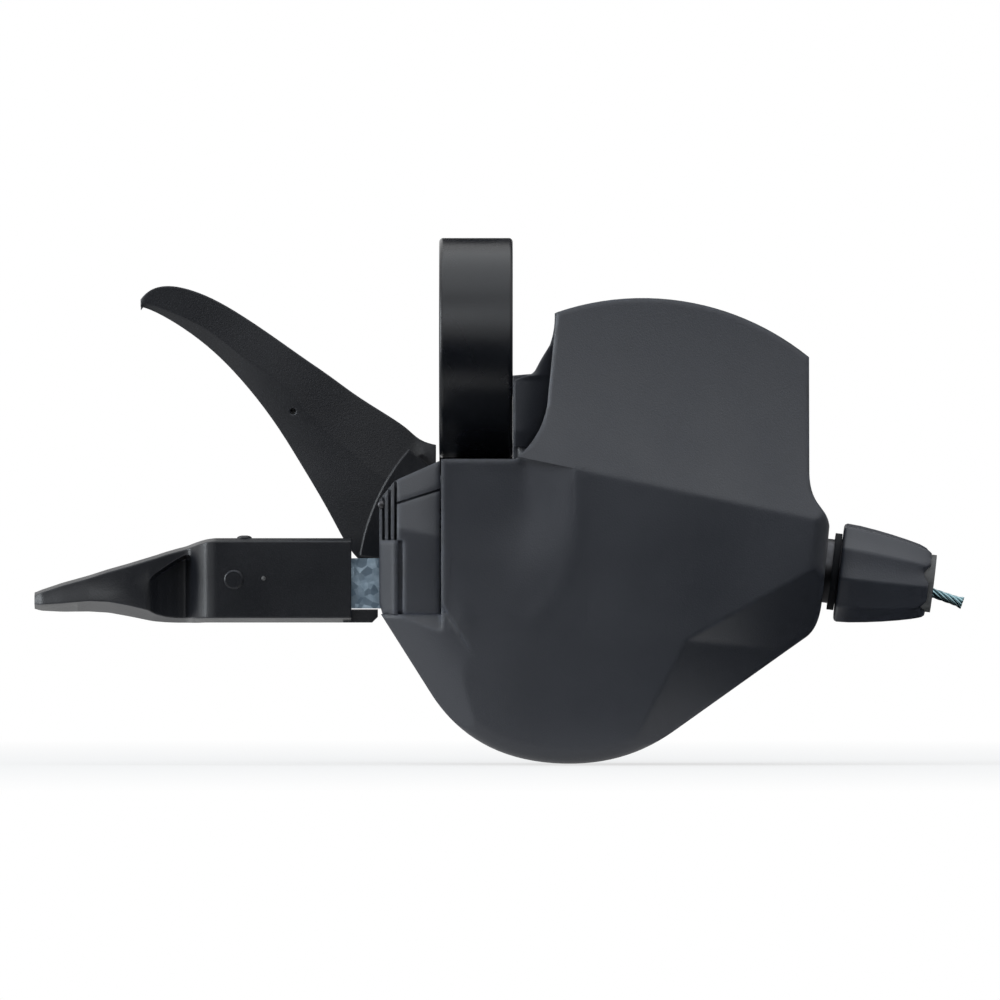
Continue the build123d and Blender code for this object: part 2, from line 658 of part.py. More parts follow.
# Blade stations from root to tip: place along X, then height and depth of the lower edge,
# the crease and the upper edge, and the depth of the thumb flange.
blade_stations = [
    (-5.0, -19.5, -1.5, -15.5, -1.6, -12.1, -1.2, 4.5),
    (-8.6, -24.5, -1.2, -16.0, -1.4, -10.1, -0.9, 5.0),
    (-12.5, -27.4, -0.4, -15.6, -0.8, -7.5, -0.4, 6.0),
    (-15.4, -25.6, 0.3, -13.2, -0.2, -5.6, 0.1, 7.0),
    (-18.0, -21.2, 0.9, -11.0, 0.3, -3.7, 0.5, 8.0),
    (-21.6, -15.0, 1.7, -7.4, 0.9, -1.2, 1.0, 9.0),
    (-25.0, -9.6, 2.4, -4.0, 1.5, 1.2, 1.6, 9.8),
    (-29.0, -4.4, 3.1, -1.2, 2.2, 3.9, 2.3, 10.2),
    (-33.0, -0.3, 3.7, 1.9, 2.9, 6.2, 2.8, 10.3),
    (-36.5, 2.4, 4.1, 3.8, 3.4, 7.5, 3.3, 9.8),
    (-39.5, 4.2, 4.4, 5.0, 3.9, 7.7, 3.7, 8.8),
    (-42.0, 5.2, 4.2, 5.5, 4.25, 6.1, 4.4, 7.0),
]
web_thick = 2.2
flange_thick = 1.7
blade_sections = []
for x, low_z, low_y, crease_z, crease_y, high_z, high_y, reach in blade_stations:
    section = Polyline(
        (low_y, low_z),
        (crease_y, crease_z),
        (high_y, high_z),
        (high_y + reach, high_z - 0.5),
        (high_y + reach, high_z - 0.6 * flange_thick),
        (high_y + web_thick, high_z - 0.8 * flange_thick),
        (crease_y + web_thick, crease_z),
        (low_y + web_thick, low_z),
        close=True,
    )
    blade_sections.append(Plane(origin=(x, 0, 0), x_dir=(0, 1, 0), z_dir=(1, 0, 0)) * make_face(section))
blade = loft(blade_sections)
blade_root_radius = case_radius + 0.75
blade -= post(pivot_x, pivot_z, blade_root_radius, -40, 40)
blade += slab(sector(blade_root_radius, plate_length + 1.0, 139.5, 171.0), -2.2, 2.4)
blade -= plate_solid
mould_hole = (-22.9, -7.9)
blade -= post(*mould_hole, 0.4, -5, 2.2)
save(blade, "main_lever_blade")

# Release lever: plate on the axle, moulded grip with a finger pad set back on a neck.
release_back_y = release_plate_y + plate_thick
grip_front_y = release_plate_y - 1.8
grip_back_y = release_back_y + 2.0
grip_inner_x = -15.5
grip_outer_x = -33.0
grip_low_z = -34.25
grip_high_z = -23.75
release_solid = post(pivot_x, pivot_z, 6.0, release_plate_y, release_back_y)
release_solid += box_between(-30.0, pivot_x, release_plate_y, release_back_y, -32.5, -26.25)
release_hole = post(pivot_x, pivot_z, 4.2, -40, 40)
save(release_solid - release_hole, "release_lever_plate")
release_bush = ring(axle_radius + running_fit, 4.2, release_plate_y - 0.2, release_back_y + 0.2)
save(release_bush, "release_lever_bush")


def station(x, points):
    plane = Plane(origin=(x, 0, 0), x_dir=(0, 1, 0), z_dir=(1, 0, 0))
    return plane * make_face(Polyline(*points, close=True))


grip = box_between(grip_outer_x, grip_inner_x, grip_front_y, grip_back_y, grip_low_z, grip_high_z)
grip = fillet(grip.faces().sort_by(Axis.Y)[0].edges(), 0.9)
neck_outer_x = -41.2
neck = loft([
    station(grip_outer_x, [(-15.0, -34.2), (-15.0, -23.9), (grip_back_y, -23.9), (grip_back_y, -34.2)]),
    station(-34.4, [(-12.8, -34.25), (-12.8, -24.1), (-8.6, -24.0), (-8.6, -34.1)]),
    station(-37.0, [(-8.8, -34.3), (-8.8, -25.2), (-5.0, -24.9), (-5.0, -33.2)]),
    station(neck_outer_x, [(-7.4, -34.0), (-7.4, -27.6), (-3.0, -26.4), (-3.0, -30.6)]),
])
pad = loft([
    station(neck_outer_x + 0.6, [(-12.6, -34.0), (-12.6, -28.6), (-1.8, -26.0), (-1.8, -30.2)]),
    station(-44.6, [(-12.7, -33.2), (-12.7, -29.4), (-1.2, -27.1), (-1.2, -30.2)]),
    station(-48.0, [(-12.4, -32.85), (-12.4, -30.3), (-1.0, -28.2), (-1.0, -30.8)]),
    station(-55.0, [(-10.6, -32.9), (-10.6, -31.9), (-2.6, -30.7), (-2.6, -32.2)]),
])
lip = box_between(-16.5, -12.2, release_plate_y - 0.4, release_back_y + 0.4, grip_low_z, -32.6)
lip -= Pos(-12.2, 0, grip_low_z) * Rot(0, 45, 0) * Box(1.2, 20, 1.2)
nub = Pos(-28.8, grip_front_y + 2.0, grip_high_z) * Rot(90, 0, 0) * Cylinder(0.9, 1.6)
grip += lip
grip += nub & box_between(-40, 0, -40, 40, grip_high_z - 0.5, grip_high_z + 0.35)
grip += neck
grip += pad
grip -= release_solid
save(grip, "release_lever_grip")

# Barrel adjuster: friction ring, fluted barrel, hollow bolt and end seat.
core_radius = 3.6
seat_length = 1.8


def spun(points):
    """A profile of radius and distance, spun about the barrel axis."""
    plane = Plane(origin=barrel_plane.origin, x_dir=barrel_plane.x_dir, z_dir=barrel_plane.y_dir)
    flipped = [(radius, -distance) for radius, distance in points]
    barrel_axis = Axis(barrel_plane.origin, barrel_plane.z_dir)
    return revolve(plane * make_face(Polyline(*flipped, close=True)), barrel_axis, 360)


barrel = spun([
    (core_radius, 0),
    (barrel_big - 0.3, 0),
    (barrel_big, 0.3),
    (barrel_big - 0.15, 3.5),
    (barrel_big - 0.75, 7.5),
    (barrel_small + 0.4, barrel_length - 0.6),
    (barrel_small, barrel_length),
    (core_radius, barrel_length),
])
flute_lean = math.degrees(math.atan2(barrel_big - barrel_small, barrel_length))
for count in range(barrel_flutes):
    flute = Rot(0, 0, count * 360 / barrel_flutes) * Pos(barrel_big + 0.95, 0, 4.6)
    barrel -= barrel_plane * flute * Rot(0, -flute_lean, 0) * Cylinder(1.5, 18)
for count in range(3):
    barrel -= barrel_plane * Rot(0, 0, count * 60) * Pos(0, 0, barrel_length) * Box(20, 1.1, 1.2)
save(barrel, "adjuster_barrel")
bolt_end = barrel_length + 0.6 - seat_length
adjuster = along_barrel(bolt_radius, -bolt_depth, 0) + along_barrel(core_radius, 0, bolt_end)
adjuster -= along_barrel(bolt_bore, -20, 20)
mouth = [(0, -bolt_depth), (3.6, -bolt_depth), (bolt_bore, -2.6), (0, -2.6)]
adjuster -= spun(mouth)
save(adjuster, "adjuster_bolt")
seat = along_barrel(core_radius, bolt_end, barrel_length + 0.6) - along_barrel(2.6, -20, 20)
save(seat, "adjuster_seat")
save(along_barrel(4.8, -0.95, -0.1) - along_barrel(bolt_radius + running_fit, -2, 2), "adjuster_ring")
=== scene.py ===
import json
import math

import bpy
import numpy
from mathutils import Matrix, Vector


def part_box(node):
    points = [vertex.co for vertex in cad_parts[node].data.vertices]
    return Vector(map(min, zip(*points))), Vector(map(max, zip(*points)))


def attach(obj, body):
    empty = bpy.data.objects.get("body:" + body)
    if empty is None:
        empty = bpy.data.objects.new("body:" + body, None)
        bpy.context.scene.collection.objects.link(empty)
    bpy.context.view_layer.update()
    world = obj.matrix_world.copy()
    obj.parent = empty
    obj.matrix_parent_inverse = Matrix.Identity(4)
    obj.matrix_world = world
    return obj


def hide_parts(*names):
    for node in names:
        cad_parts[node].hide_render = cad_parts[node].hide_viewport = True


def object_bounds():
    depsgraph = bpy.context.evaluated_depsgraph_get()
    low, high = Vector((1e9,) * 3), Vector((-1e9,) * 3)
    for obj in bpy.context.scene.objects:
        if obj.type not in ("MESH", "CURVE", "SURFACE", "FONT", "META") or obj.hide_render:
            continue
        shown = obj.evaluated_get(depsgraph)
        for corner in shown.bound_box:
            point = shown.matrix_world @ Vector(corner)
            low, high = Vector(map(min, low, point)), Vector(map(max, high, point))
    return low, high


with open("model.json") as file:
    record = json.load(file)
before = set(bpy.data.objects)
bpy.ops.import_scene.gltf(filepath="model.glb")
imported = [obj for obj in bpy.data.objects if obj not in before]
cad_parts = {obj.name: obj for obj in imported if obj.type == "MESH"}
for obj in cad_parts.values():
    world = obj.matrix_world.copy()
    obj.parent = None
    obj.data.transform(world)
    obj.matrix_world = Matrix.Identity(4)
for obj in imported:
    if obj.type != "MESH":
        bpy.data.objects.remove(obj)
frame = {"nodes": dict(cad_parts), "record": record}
cad_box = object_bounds()
nodes = frame["nodes"]

MM = 0.001

# The photograph's frame: 125 mm across, seen level along +Y from far away.
FRAME_WIDTH = 125 * MM
FRAME_CENTRE = Vector((3 * MM, 0, -19 * MM))
CAMERA_DISTANCE = 3.0
CAMERA_REACH = 20.0
SENSOR_WIDTH = 36.0
SIGHT_START = -0.2
SIGHT = (0, 1, 0)

# The floor, in metres, and the white that hides all of it but the shadow near the part.
FLOOR_LEVEL = cad_box[0].z - 0.2 * MM
FLOOR_REACH = 1.2
FLOOR_PAINT = (0.9, 0.9, 0.9, 1)
SHADOW_NEAR = 0.06
SHADOW_FAR = 0.3
WHITE_SHARE_NEAR = 0.7

# Black cards, in metres, all with the same right edge. Upright ones: left edge, depth, low and high edges.
# Level ones: left, near and far edges.
CARD_LEVEL = FLOOR_LEVEL + 0.5 * MM
CARD_RIGHT = 1.1
CARD_PAINT = (0.01, 0.01, 0.012, 1)
UPRIGHT_CARDS = {
    "upright_card": (-0.3, -0.9, CARD_LEVEL, 0.17),
    "back_card": (-0.048, 0.5, 0.1, 0.44),
}
LEVEL_CARDS = {
    "front_card": (-0.6, -0.9, -0.11),
    "near_card": (0.004, -0.11, -0.032),
    "right_card": (0.04, -0.032, 0.3),
}

# Soft boxes: place, width and height in metres, and power in watts.
BOX_AIM = Vector((5, -10, -20)) * MM
BOX_TINT = (0.9, 0.96, 1.0)
SOFT_BOXES = {
    "top_box": ((0.0, 0.0, 0.8), 0.9, 0.9, 2.6),
    "front_box": ((0.1, -0.7, 0.5), 0.9, 0.3, 1.1),
    "left_box": ((-0.95, -0.25, 0.25), 0.4, 0.6, 7.0),
}
ROOM_TINT = (0.93, 0.96, 1.0, 1)
ROOM_LEVEL = 0.3
WHITE = (1, 1, 1, 1)

# Grain, drift and edges of the finishes. A scale counts the waves in a metre.
PLASTIC_GRAIN = 5000.0
PLASTIC_GRAIN_DEPTH = 0.02 * MM
PLASTIC_DRIFT = 90.0
PLASTIC_ROUGH_SWING = 0.05
BAND_GRAIN = 7000.0
BAND_GRAIN_DEPTH = 0.01 * MM
METAL_GRAIN = 1500.0
METAL_GRAIN_DEPTH = 0.005 * MM
METAL_DRIFT = 500.0
METAL_ROUGH_SWING = 0.06
ZINC_GRAIN = 2500.0
ZINC_GRAIN_DEPTH = 0.008 * MM
ZINC_DRIFT = 700.0
ZINC_FLAKES = 1100.0
ZINC_ROUGH_SWING = 0.08
ZINC_DARK = (0.2, 0.28, 0.36, 1)
ZINC_LIGHT = (0.55, 0.68, 0.78, 1)
ZINC_ROUGH = 0.45
ZINC_FLAKE_SHARE = (0.3, 1.0)
WINDOW_GRAIN = 400.0
WINDOW_ALPHA = 0.12
WINDOW_IOR = 1.49
WINDOW_ROUGH = (0.02, 0.07)
WINDOW_TINTS = ((0.9, 0.93, 0.95, 1), (0.97, 0.98, 1, 1))
GRAIN_DETAIL = 2.0
DRIFT_DETAIL = 3.0
EDGE_SOFTNESS = 0.3 * MM
COVER_SOFTNESS = 1.0 * MM
EDGE_SAMPLES = 6
EDGE_TURN = (0.99, 0.80)
# Patches that break up the edge mask, whose lighter tone is part wear and part painted edge highlight.
WEAR_AND_HIGHLIGHT_PATCHES = 600.0
WEAR_AND_HIGHLIGHT_RANGE = (0.35, 0.65)
MASK_RANGE = (0.3, 0.7)
COOL_CAST = (0.80, 0.92, 1.28)

# The shift cable: where it leaves the drum, and the wires it is laid from.
AXLE = Vector((12.0, 0, -30.1)) * MM
CABLE_DEPTH = -6.0 * MM
CABLE_PITCH_RADIUS = 14.1 * MM
CABLE_LEAVE_ANGLE = math.radians(71.1)
CABLE_WRAP = math.radians(22.0)
CABLE_END_GAP = 0.4 * MM
STRANDS = 6
STRAND_RADIUS = 0.2 * MM
STRAND_LAY = 6.0 * MM
STRAND_SIDES = 8
STRAND_STEPS = 260
LOOSE_END = 2.5 * MM
LEAST_SPLAY = 0.05 * MM
SPLAY_STEP = 0.06 * MM
SPLAY_KINDS = 3

# The softened face over the finger groove: its patch of the cover, and how the groove runs out below.
GROOVE_LEFT = -4.0 * MM
GROOVE_RIGHT = 14.6 * MM
GROOVE_LOW = -36.0 * MM
GROOVE_HIGH = -14.4 * MM
GROOVE_PITCH = 0.25 * MM
GROOVE_MARGIN = 3.5 * MM
GROOVE_PROUD = 0.03 * MM
GROOVE_RIM_SUNK = 0.01 * MM
GROOVE_THICK = 0.3 * MM
SOFT_REACH = 5
MAIN_FACE_LOW = -34.5 * MM
MAIN_FACE_LEFT = 12.6 * MM
MAIN_FACE_TOP = -18.0 * MM
FILL_TOP = -19.0 * MM
FILL_LEFT = -4.0 * MM
FILL_RUN = 13.0 * MM
FILL_WIDE = 12.0 * MM

# Where the panel's lower edge runs on over the groove's top, seen from the front, in millimetres.
CREASE_OUTLINE = [
    (5.45, -13.66),
    (12.2, -15.08),
    (12.9, -14.3),
    (12.3, -12.5),
    (6.9, -12.5),
    (5.75, -13.4),
]
PANEL_SPOTS = [(8.0, -12.6), (12.0, -12.6), (10.0, -11.6)]
CREASE_BACK = -21.4 * MM
CREASE_PROUD = 0.02 * MM

# The trigger's moulding from its root to its tip, in millimetres. Each row holds the place along X, the depth
# of the front's lower and upper halves, the bottom, the height of the underside strip, the line between the
# halves, the top, and the back's depth, top and bottom.
TRIGGER_ROWS = [
    (-15.5, -15.6, -15.6, -34.25, 0.6, -29.0, -23.75, -10.2, -23.75, -34.25),
    (-32.6, -15.6, -15.6, -34.25, 0.6, -29.0, -23.75, -10.2, -23.75, -34.25),
    (-33.6, -15.2, -15.2, -34.25, 0.6, -29.0, -23.9, -9.6, -23.9, -34.2),
    (-34.6, -14.2, -14.2, -34.3, 0.6, -28.5, -24.2, -8.4, -24.2, -34.1),
    (-35.4, -12.9, -13.0, -34.3, 0.6, -26.2, -24.5, -7.2, -24.5, -33.9),
    (-36.0, -9.8, -12.6, -34.3, 0.6, -26.0, -24.75, -6.0, -24.75, -33.5),
    (-37.2, -10.1, -12.5, -34.3, 0.6, -26.6, -25.05, -5.0, -25.05, -33.2),
    (-38.6, -10.8, -12.5, -34.25, 0.7, -27.5, -25.45, -4.0, -25.45, -32.2),
    (-39.8, -11.6, -12.6, -34.15, 0.9, -28.3, -25.85, -3.0, -25.85, -31.0),
    (-40.3, -12.3, -12.7, -34.1, 1.1, -28.7, -26.0, -2.4, -26.0, -30.5),
    (-40.8, -12.7, -12.7, -34.0, 1.3, -29.2, -26.15, -1.8, -26.15, -30.2),
    (-43.25, -12.8, -12.6, -33.5, 1.4, -30.0, -26.9, -1.4, -26.9, -30.2),
    (-45.75, -12.8, -12.4, -33.05, 1.4, -30.3, -27.6, -1.1, -27.6, -30.4),
    (-48.25, -12.6, -12.1, -32.9, 1.35, -30.2, -28.4, -1.0, -28.4, -30.8),
    (-51.5, -11.9, -11.4, -32.93, 1.1, -30.8, -29.3, -1.7, -29.4, -31.4),
    (-54.2, -11.0, -10.6, -32.8, 0.8, -31.2, -30.2, -2.5, -30.4, -32.1),
    (-55.0, -10.2, -10.0, -32.55, 0.6, -31.4, -30.55, -3.0, -30.7, -32.2),
]
TRIGGER_STEP = 0.2
TRIGGER_SOFT_REACH = 2
ARM_FRONT = -15.6
NECK_HOLLOW = 0.2
NECK_HOLLOW_RUN = 2.6
STRIP_LEAN = 3.2
MIDDLE_HALF = 0.25
TOP_EDGE_DROP = 0.4
TOP_EDGE_DEEP = 1.2

# The lip at the trigger's root, seen from the front, and its two depths, in millimetres.
LIP_OUTLINE = [(-16.5, -34.25), (-12.9, -34.25), (-12.2, -33.55), (-12.2, -32.6), (-16.5, -32.6)]
LIP_FRONT = -14.2
LIP_BACK = -11.8

# The leg beside the clamp from top to bottom, in millimetres: height, left side, and the pod's edge
# at its right.
LEG_ROWS = [
    (0.2, 9.15, 9.75),
    (-1.5, 8.1, 9.59),
    (-3.2, 7.2, 9.4),
    (-4.0, 4.8, 9.3),
    (-7.125, 4.8, 8.95),
    (-10.375, 4.8, 7.95),
    (-12.4, 4.8, 6.75),
]
LEG_STEPS = 48
LEG_POINTS = 11
LEG_TUCK = 0.15 * MM
LEG_PROBE = 0.3
LEG_RISE = 1.3 * MM
LEG_RISE_SHARE = 0.4
LEG_SUNK = 0.02 * MM
LEG_BACK = 0.2 * MM

# The least turn between faces that stays a crisp edge on the trigger and the leg.
SHARP_ANGLE = math.radians(32)

# The adjusting barrel: pairs of distance along it and radius, in millimetres, and its facets and scallops.
BARREL_START = Vector((45.25, -6.0, -28.0)) * MM
BARREL_TILT = math.radians(7.0)
BARREL_ROWS = [
    (0.0, 3.62),
    (0.0, 5.9),
    (0.12, 6.15),
    (0.4, 6.3),
    (2.0, 6.2),
    (4.0, 5.93),
    (6.0, 5.6),
    (8.0, 5.2),
    (9.6, 4.82),
    (10.5, 4.55),
    (10.9, 4.4),
    (11.2, 4.15),
    (11.25, 3.85),
    (11.25, 3.62),
    (8.0, 3.62),
]
BARREL_SIDES = 160
BARREL_ROUND_BELOW = 4.0
FACETS = 10
FACET_ANGLE = 360.0 / FACETS
FIRST_FACET_ANGLE = 97.0
FACET_HOLLOW = 0.1
SCALLOPS = 5
SCALLOP_DEPTH = 0.7
SCALLOP_START = 9.6
SCALLOP_RUN = 1.5

# The dial strip under the window, its gear numbers and its division marks.
DIAL_CENTRE = Vector((20.7, -14.35, -26.7)) * MM
DIAL_RADIUS = 29.0 * MM
DIAL_HALF_WIDTH = 0.85 * MM
GEARS = 11
DRUM_TEETH = 33
NEEDLE_RATIO = 0.35
TOP_GEAR_ANGLE = 62.0
GEAR_STEP_ANGLE = 360.0 / DRUM_TEETH * NEEDLE_RATIO
INK_THICK = 0.03 * MM
NUMBER_SIZE = 1.15 * MM
NUMBER_DEPTH = 0.15 * MM
NUMBER_LIFT = 0.005 * MM
MARK_INSET = 0.08 * MM
MARK_LENGTH = 0.28 * MM
MARK_HALF_WIDTH = 0.09 * MM

# Small turned forms: pairs of radius and height in millimetres, sides, and where they sit.
NUB_PROFILE = [(0.95, -0.1), (0.9, 0.12), (0.7, 0.26), (0.35, 0.34)]
NUB_SIDES = 24
NUB_PLACE = Vector((-28.8, -13.6, -23.75)) * MM
RING_PROFILE = [(1.25, -0.05), (1.2, 0.05), (1.0, 0.05), (0.95, -0.05)]
RING_SIDES = 32
RING_SPOT = (-30.1 * MM, -28.9 * MM)
HEAD_PROFILE = [(0.5, -0.1), (0.5, 0.15), (0.4, 0.28), (0.2, 0.35)]
HEAD_SIDES = 24
HEAD_SPOT = (-11.7 * MM, -19.6 * MM)
NIB_PROFILE = [(0.3, -0.05), (0.27, 0.08), (0.12, 0.14)]
NIB_SIDES = 16
NIB_SPOT = (-26.4 * MM, -28.75 * MM)
TOWARD_EYE = Vector((0, -1, 0))
UPWARD = Vector((0, 0, 1))


def add_camera():
    data = bpy.data.cameras.new("front_camera")
    data.sensor_width = SENSOR_WIDTH
    data.lens = SENSOR_WIDTH * CAMERA_DISTANCE / FRAME_WIDTH
    data.clip_end = CAMERA_REACH
    camera = bpy.data.objects.new("front_camera", data)
    camera.location = FRAME_CENTRE - Vector((0, CAMERA_DISTANCE, 0))
    camera.rotation_euler = (math.pi / 2, 0, 0)
    bpy.context.scene.collection.objects.link(camera)
    bpy.context.scene.camera = camera


def add_softbox(name, place, width, height, power):
    data = bpy.data.lights.new(name, "AREA")
    data.shape = "RECTANGLE"
    data.size = width
    data.size_y = height
    data.energy = power
    data.color = BOX_TINT
    light = bpy.data.objects.new(name, data)
    light.location = place
    light.rotation_euler = (BOX_AIM - Vector(place)).to_track_quat("-Z", "Y").to_euler()
    bpy.context.scene.collection.objects.link(light)


def link(tree, source, target):
    tree.links.new(source, target)


def maths(tree, operation, first, second):
    node = tree.nodes.new("ShaderNodeMath")
    node.operation = operation
    link(tree, first, node.inputs[0])
    link(tree, second, node.inputs[1])
    return node.outputs[0]


def map_range(tree, value, from_low, from_high, to_low=0.0, to_high=1.0):
    node = tree.nodes.new("ShaderNodeMapRange")
    node.inputs["From Min"].default_value = from_low
    node.inputs["From Max"].default_value = from_high
    node.inputs["To Min"].default_value = to_low
    node.inputs["To Max"].default_value = to_high
    link(tree, value, node.inputs["Value"])
    return node.outputs[0]


def mix_shaders(tree, factor, first, second):
    mix = tree.nodes.new("ShaderNodeMixShader")
    for number, source in enumerate((factor, first, second)):
        link(tree, source, mix.inputs[number])
    return mix.outputs[0]


def object_place(tree):
    return tree.nodes.new("ShaderNodeTexCoord").outputs["Object"]


def white_to_the_eye(tree):
    """One for rays from the camera, a mirror or glass, and zero for the rest."""
    path = tree.nodes.new("ShaderNodeLightPath")
    seen = maths(tree, "MAXIMUM", path.outputs["Is Camera Ray"], path.outputs["Is Glossy Ray"])
    return maths(tree, "MAXIMUM", seen, path.outputs["Is Transmission Ray"])


def light_the_world():
    world = bpy.data.worlds.new("studio")
    world.use_nodes = True
    tree = world.node_tree
    tree.nodes.clear()
    room = tree.nodes.new("ShaderNodeBackground")
    room.inputs["Color"].default_value = ROOM_TINT
    room.inputs["Strength"].default_value = ROOM_LEVEL
    paper = tree.nodes.new("ShaderNodeBackground")
    paper.inputs["Color"].default_value = WHITE
    paper.inputs["Strength"].default_value = 1.0
    sky = mix_shaders(tree, white_to_the_eye(tree), room.outputs[0], paper.outputs[0])
    link(tree, sky, tree.nodes.new("ShaderNodeOutputWorld").inputs["Surface"])
    bpy.context.scene.world = world


def bare_material(name):
    """A new material with its nodes still to come."""
    material = bpy.data.materials.new(name)
    material.use_nodes = True
    material.node_tree.nodes.clear()
    return material, material.node_tree


def show_shader(tree, shader):
    link(tree, shader, tree.nodes.new("ShaderNodeOutputMaterial").inputs["Surface"])


def matt_paint(tree, colour):
    paint = tree.nodes.new("ShaderNodeBsdfDiffuse")
    paint.inputs["Color"].default_value = colour
    return paint.outputs[0]


def floor_material():
    """Pale floor that takes a shadow and stays white to the eye."""
    material, tree = bare_material("pale_floor")
    paint = matt_paint(tree, FLOOR_PAINT)
    glow = tree.nodes.new("ShaderNodeEmission")
    glow.inputs["Strength"].default_value = 1.0
    distance = tree.nodes.new("ShaderNodeVectorMath")
    distance.operation = "LENGTH"
    link(tree, object_place(tree), distance.inputs[0])
    fade = map_range(tree, distance.outputs["Value"], SHADOW_NEAR, SHADOW_FAR, WHITE_SHARE_NEAR, 1.0)
    share = maths(tree, "MULTIPLY", white_to_the_eye(tree), fade)
    show_shader(tree, mix_shaders(tree, share, paint, glow.outputs[0]))
    return material


def dark_card_material():
    """A black studio card that only reflections see."""
    material, tree = bare_material("dark_card")
    paint = matt_paint(tree, CARD_PAINT)
    clear = tree.nodes.new("ShaderNodeBsdfTransparent")
    path = tree.nodes.new("ShaderNodeLightPath")
    show_shader(tree, mix_shaders(tree, path.outputs["Is Glossy Ray"], clear.outputs[0], paint))
    return material


def flat_sheet(name, corners, material):
    mesh = bpy.data.meshes.new(name)
    mesh.from_pydata(corners, [], [tuple(range(len(corners)))])
    sheet = bpy.data.objects.new(name, mesh)
    sheet.data.materials.append(material)
    bpy.context.scene.collection.objects.link(sheet)


def level_corners(left, right, near, far, height):
    return [(left, near, height), (right, near, height), (right, far, height), (left, far, height)]


def upright_corners(left, right, depth, low, high):
    return [(left, depth, low), (right, depth, low), (right, depth, high), (left, depth, high)]


def build_studio():
    floor = level_corners(-FLOOR_REACH, FLOOR_REACH, -FLOOR_REACH, FLOOR_REACH, FLOOR_LEVEL)
    flat_sheet("floor", floor, floor_material())
    black = dark_card_material()
    for name, (left, depth, low, high) in UPRIGHT_CARDS.items():
        flat_sheet(name, upright_corners(left, CARD_RIGHT, depth, low, high), black)
    for name, (left, near, far) in LEVEL_CARDS.items():
        flat_sheet(name, level_corners(left, CARD_RIGHT, near, far, CARD_LEVEL), black)
    light_the_world()
    for name, values in SOFT_BOXES.items():
        add_softbox(name, *values)


def new_group(name, inputs, outputs):
    """An empty shader group with its named sockets."""
    group = bpy.data.node_groups.new(name, "ShaderNodeTree")
    for label, default in inputs:
        socket = group.interface.new_socket(label, in_out="INPUT", socket_type="NodeSocketFloat")
        socket.default_value = default
    for label, kind in outputs:
        group.interface.new_socket(label, in_out="OUTPUT", socket_type=kind)
    start = group.nodes.new("NodeGroupInput")
    end = group.nodes.new("NodeGroupOutput")
    return group, start, end


def noise(tree, scale, detail):
    node = tree.nodes.new("ShaderNodeTexNoise")
    node.inputs["Detail"].default_value = detail
    link(tree, object_place(tree), node.inputs["Vector"])
    if isinstance(scale, float):
        node.inputs["Scale"].default_value = scale
    else:
        link(tree, scale, node.inputs["Scale"])
    return node.outputs["Fac"]


def moulded_grain_group():
    """Fine moulded texture: a bump height and a slow drift of tone."""
    group, start, end = new_group(
        "moulded_grain",
        [("Grain Scale", PLASTIC_GRAIN), ("Drift Scale", PLASTIC_DRIFT)],
        [("Height", "NodeSocketFloat"), ("Drift", "NodeSocketFloat")],
    )
    link(group, noise(group, start.outputs["Grain Scale"], GRAIN_DETAIL), end.inputs["Height"])
    link(group, noise(group, start.outputs["Drift Scale"], DRIFT_DETAIL), end.inputs["Drift"])
    return group


def rubbed_edge_group():
    """Softened edges, and a mask of them broken up the way handling wears them; the mask lightens the edges,
    part wear and part painted highlight.
    """
    group, start, end = new_group(
        "highlit_rubbed_edge",
        [("Width", EDGE_SOFTNESS), ("Strength", 1.0)],
        [("Edge", "NodeSocketFloat"), ("Soft Normal", "NodeSocketVector")],
    )
    soft = group.nodes.new("ShaderNodeBevel")
    soft.samples = EDGE_SAMPLES
    link(group, start.outputs["Width"], soft.inputs["Radius"])
    link(group, soft.outputs["Normal"], end.inputs["Soft Normal"])
    face = group.nodes.new("ShaderNodeNewGeometry")
    dot = group.nodes.new("ShaderNodeVectorMath")
    dot.operation = "DOT_PRODUCT"
    link(group, soft.outputs["Normal"], dot.inputs[0])
    link(group, face.outputs["Normal"], dot.inputs[1])
    turn = map_range(group, dot.outputs["Value"], *EDGE_TURN)
    patch = map_range(group, noise(group, WEAR_AND_HIGHLIGHT_PATCHES, DRIFT_DETAIL), *WEAR_AND_HIGHLIGHT_RANGE)
    # Edge mask: part wear, part painted highlight along the edges.
    worn_and_highlit = maths(group, "MULTIPLY", turn, patch)
    link(group, maths(group, "MULTIPLY", worn_and_highlit, start.outputs["Strength"]), end.inputs["Edge"])
    return group


grain_group = moulded_grain_group()
edge_group = rubbed_edge_group()


def new_material(name):
    material = bpy.data.materials.new(name)
    material.use_nodes = True
    tree = material.node_tree
    return material, tree, tree.nodes["Principled BSDF"]


def place_group(tree, group, **values):
    node = tree.nodes.new("ShaderNodeGroup")
    node.node_tree = group
    for label, value in values.items():
        node.inputs[label.replace("_", " ")].default_value = value
    return node


def blend_colours(tree, factor, first, second):
    mix = tree.nodes.new("ShaderNodeMix")
    mix.data_type = "RGBA"
    link(tree, factor, mix.inputs["Factor"])
    for value, socket in ((first, mix.inputs["A"]), (second, mix.inputs["B"])):
        if isinstance(value, tuple):
            socket.default_value = value
        else:
            link(tree, value, socket)
    return mix.outputs["Result"]


def spread(tree, mask, low, high):
    """A noise mask stretched from one value to another."""
    return map_range(tree, mask, *MASK_RANGE, low, high)


def vary_roughness(tree, shader, mask, low, high):
    link(tree, spread(tree, mask, low, high), shader.inputs["Roughness"])


def raise_surface(tree, shader, height, distance, base_normal=None):
    bump = tree.nodes.new("ShaderNodeBump")
    bump.inputs["Distance"].default_value = distance
    link(tree, height, bump.inputs["Height"])
    if base_normal:
        link(tree, base_normal, bump.inputs["Normal"])
    link(tree, bump.outputs["Normal"], shader.inputs["Normal"])


